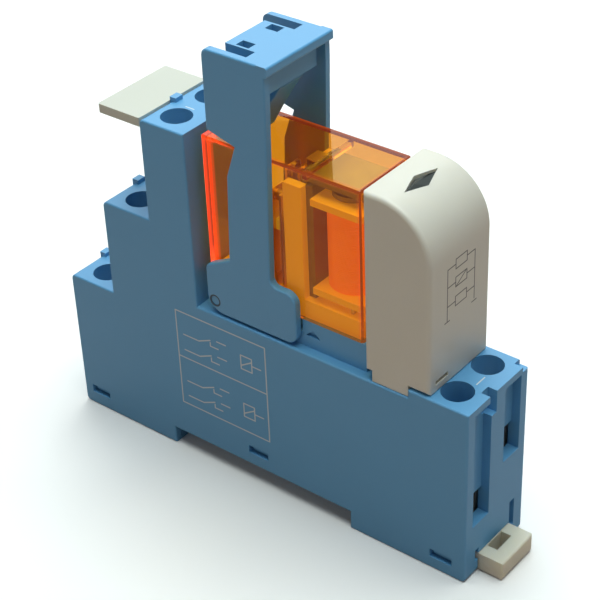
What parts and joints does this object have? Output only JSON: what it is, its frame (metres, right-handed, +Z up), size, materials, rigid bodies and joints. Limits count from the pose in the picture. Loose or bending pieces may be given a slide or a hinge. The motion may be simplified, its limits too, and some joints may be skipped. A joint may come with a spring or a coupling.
{
  "type": "plug-in relay on a rail socket",
  "caption": "Stepped blue rail socket with screw terminals, carrying a clear amber relay under a retaining clip and a cream indicator module.",
  "frame": {"origin": "under the middle of the whole assembly, level with the bottom of the feet", "axes": "+X along the socket towards the coil terminals and the rail clip's tab, +Y from the front face to the back face, +Z up from the feet"},
  "size_m": [0.083, 0.0158, 0.076],
  "materials": {
    "socket_plastic": "moulded, fine satin grain",
    "clip_plastic": "moulded, satin",
    "amber_clear": "clear tinted, polished",
    "amber_plastic": "moulded, glossy",
    "yellow_plastic": "moulded, glossy",
    "cream_plastic": "moulded, fine grain",
    "tag_plastic": "moulded, smooth",
    "ivory_plastic": "moulded, waxy",
    "contact_brass": "stamped strip",
    "copper_wire": "enamelled winding",
    "screw_steel": "zinc plated",
    "cage_steel": "zinc plated",
    "soft_iron": "nickel plated iron",
    "tinned_pins": "tin plated",
    "board_green": "glass fibre laminate",
    "led_clear": "clear moulded",
    "lens_grey": "smoked, faceted",
    "varistor_blue": "dipped coating",
    "resistor_buff": "lacquered"
  },
  "bodies": {
    "socket": {"socket_housing": "socket_plastic", "bottom_cover": "socket_plastic", "strip_low_front": "contact_brass", "strip_low_back": "contact_brass", "strip_middle_front": "contact_brass", "strip_middle_back": "contact_brass", "strip_upper_front": "contact_brass", "strip_upper_back": "contact_brass", "strip_coil_front": "contact_brass", "strip_coil_back": "contact_brass"},
    "relay": {"relay_cover": "amber_clear", "relay_base": "amber_plastic", "coil_bobbin": "amber_plastic", "coil_winding": "copper_wire", "coil_core": "soft_iron", "yoke": "soft_iron", "coil_pins": "tinned_pins", "armature_spring": "contact_brass", "open_contact_front": "contact_brass", "open_contact_back": "contact_brass", "common_contact_front": "contact_brass", "common_contact_back": "contact_brass", "closed_contact_front": "contact_brass", "closed_contact_back": "contact_brass"},
    "armature": {"armature": "soft_iron"},
    "card": {"pusher_card": "yellow_plastic"},
    "blades": {"contact_blade_front": "contact_brass", "contact_blade_back": "contact_brass"},
    "module": {"module_cover": "cream_plastic", "module_base": "cream_plastic", "module_pins": "tinned_pins", "circuit_board": "board_green", "status_led": "led_clear", "status_lens": "lens_grey", "varistor": "varistor_blue", "resistor": "resistor_buff"},
    "clip": {"retaining_clip": "clip_plastic", "retaining_finger": "clip_plastic"},
    "rail_clip": {"rail_clip": "ivory_plastic"},
    "tag": {"marker_tag": "tag_plastic"},
    "screw_low_front": {"terminal_screw_low_front": "screw_steel"},
    "cage_low_front": {"clamp_cage_low_front": "cage_steel"},
    "screw_low_back": {"terminal_screw_low_back": "screw_steel"},
    "cage_low_back": {"clamp_cage_low_back": "cage_steel"},
    "screw_middle_front": {"terminal_screw_middle_front": "screw_steel"},
    "cage_middle_front": {"clamp_cage_middle_front": "cage_steel"},
    "screw_middle_back": {"terminal_screw_middle_back": "screw_steel"},
    "cage_middle_back": {"clamp_cage_middle_back": "cage_steel"},
    "screw_upper_front": {"terminal_screw_upper_front": "screw_steel"},
    "cage_upper_front": {"clamp_cage_upper_front": "cage_steel"},
    "screw_upper_back": {"terminal_screw_upper_back": "screw_steel"},
    "cage_upper_back": {"clamp_cage_upper_back": "cage_steel"},
    "screw_coil_front": {"terminal_screw_coil_front": "screw_steel"},
    "cage_coil_front": {"clamp_cage_coil_front": "cage_steel"},
    "screw_coil_back": {"terminal_screw_coil_back": "screw_steel"},
    "cage_coil_back": {"clamp_cage_coil_back": "cage_steel"}
  },
  "joints": [
    {"name": "clip_turn", "type": "hinge", "parent": "socket", "child": "clip", "pos_m": [-0.0097, 0, 0.0329], "axis": [0, -1, 0], "range_deg": [0, 18], "deforming": ["retaining_finger"]},
    {"name": "relay_lift", "type": "slide", "parent": "socket", "child": "relay", "axis": [0, 0, 1], "range_m": [0, 0.0049]},
    {"name": "armature_close", "type": "hinge", "parent": "relay", "child": "armature", "pos_m": [0.00665, 0, 0.05765], "axis": [0, 1, 0], "range_deg": [0, 4], "stiffness_Nm_per_rad": 0.01},
    {"name": "card_push", "type": "slide", "parent": "relay", "child": "card", "axis": [-1, 0, 0], "range_m": [0, 0.00061]},
    {"name": "blades_bend", "type": "hinge", "parent": "relay", "child": "blades", "pos_m": [0.00055, 0, 0.0389], "axis": [0, -1, 0], "range_deg": [0, 3.5]},
    {"name": "module_pull", "type": "slide", "parent": "socket", "child": "module", "axis": [0, 0, 1], "range_m": [0, 0.02]},
    {"name": "rail_clip_pull", "type": "slide", "parent": "socket", "child": "rail_clip", "axis": [1, 0, 0], "range_m": [0, 0.0035], "stiffness_N_per_m": 800},
    {"name": "tag_pull", "type": "slide", "parent": "socket", "child": "tag", "axis": [-1, 0, 0], "range_m": [0, 0.006]},
    {"name": "screw_low_front_turn", "type": "hinge", "parent": "socket", "child": "screw_low_front", "pos_m": [-0.0367, -0.00393, 0.02025], "axis": [0, 0, -1], "range_deg": [0, 1440]},
    {"name": "cage_low_front_rise", "type": "slide", "parent": "socket", "child": "cage_low_front", "axis": [0, 0, 1], "range_m": [0, 0.002]},
    {"name": "screw_low_back_turn", "type": "hinge", "parent": "socket", "child": "screw_low_back", "pos_m": [-0.0367, 0.00393, 0.02025], "axis": [0, 0, -1], "range_deg": [0, 1440]},
    {"name": "cage_low_back_rise", "type": "slide", "parent": "socket", "child": "cage_low_back", "axis": [0, 0, 1], "range_m": [0, 0.002]},
    {"name": "screw_middle_front_turn", "type": "hinge", "parent": "socket", "child": "screw_middle_front", "pos_m": [-0.02725, -0.00393, 0.03755], "axis": [0, 0, -1], "range_deg": [0, 1440]},
    {"name": "cage_middle_front_rise", "type": "slide", "parent": "socket", "child": "cage_middle_front", "axis": [0, 0, 1], "range_m": [0, 0.002]},
    {"name": "screw_middle_back_turn", "type": "hinge", "parent": "socket", "child": "screw_middle_back", "pos_m": [-0.02725, 0.00393, 0.03755], "axis": [0, 0, -1], "range_deg": [0, 1440]},
    {"name": "cage_middle_back_rise", "type": "slide", "parent": "socket", "child": "cage_middle_back", "axis": [0, 0, 1], "range_m": [0, 0.002]},
    {"name": "screw_upper_front_turn", "type": "hinge", "parent": "socket", "child": "screw_upper_front", "pos_m": [-0.01802, -0.00393, 0.0551], "axis": [0, 0, -1], "range_deg": [0, 1440]},
    {"name": "cage_upper_front_rise", "type": "slide", "parent": "socket", "child": "cage_upper_front", "axis": [0, 0, 1], "range_m": [0, 0.002]},
    {"name": "screw_upper_back_turn", "type": "hinge", "parent": "socket", "child": "screw_upper_back", "pos_m": [-0.01802, 0.00393, 0.0551], "axis": [0, 0, -1], "range_deg": [0, 1440]},
    {"name": "cage_upper_back_rise", "type": "slide", "parent": "socket", "child": "cage_upper_back", "axis": [0, 0, 1], "range_m": [0, 0.002]},
    {"name": "screw_coil_front_turn", "type": "hinge", "parent": "socket", "child": "screw_coil_front", "pos_m": [0.03265, -0.00393, 0.01875], "axis": [0, 0, -1], "range_deg": [0, 1440]},
    {"name": "cage_coil_front_rise", "type": "slide", "parent": "socket", "child": "cage_coil_front", "axis": [0, 0, 1], "range_m": [0, 0.002]},
    {"name": "screw_coil_back_turn", "type": "hinge", "parent": "socket", "child": "screw_coil_back", "pos_m": [0.03265, 0.00393, 0.02605], "axis": [0, 0, -1], "range_deg": [0, 1440]},
    {"name": "cage_coil_back_rise", "type": "slide", "parent": "socket", "child": "cage_coil_back", "axis": [0, 0, 1], "range_m": [0, 0.002]}
  ],
  "couplings": [
    {"joint": "relay_lift", "follows": "clip_turn", "m_per_rad": 0.0153},
    {"joint": "card_push", "follows": "armature_close", "m_per_rad": 0.0087},
    {"joint": "blades_bend", "follows": "armature_close", "ratio": 0.865},
    {"joint": "screw_low_front_turn", "follows": "cage_low_front_rise", "rad_per_m": 12566},
    {"joint": "screw_low_back_turn", "follows": "cage_low_back_rise", "rad_per_m": 12566},
    {"joint": "screw_middle_front_turn", "follows": "cage_middle_front_rise", "rad_per_m": 12566},
    {"joint": "screw_middle_back_turn", "follows": "cage_middle_back_rise", "rad_per_m": 12566},
    {"joint": "screw_upper_front_turn", "follows": "cage_upper_front_rise", "rad_per_m": 12566},
    {"joint": "screw_upper_back_turn", "follows": "cage_upper_back_rise", "rad_per_m": 12566},
    {"joint": "screw_coil_front_turn", "follows": "cage_coil_front_rise", "rad_per_m": 12566},
    {"joint": "screw_coil_back_turn", "follows": "cage_coil_back_rise", "rad_per_m": 12566}
  ]
}
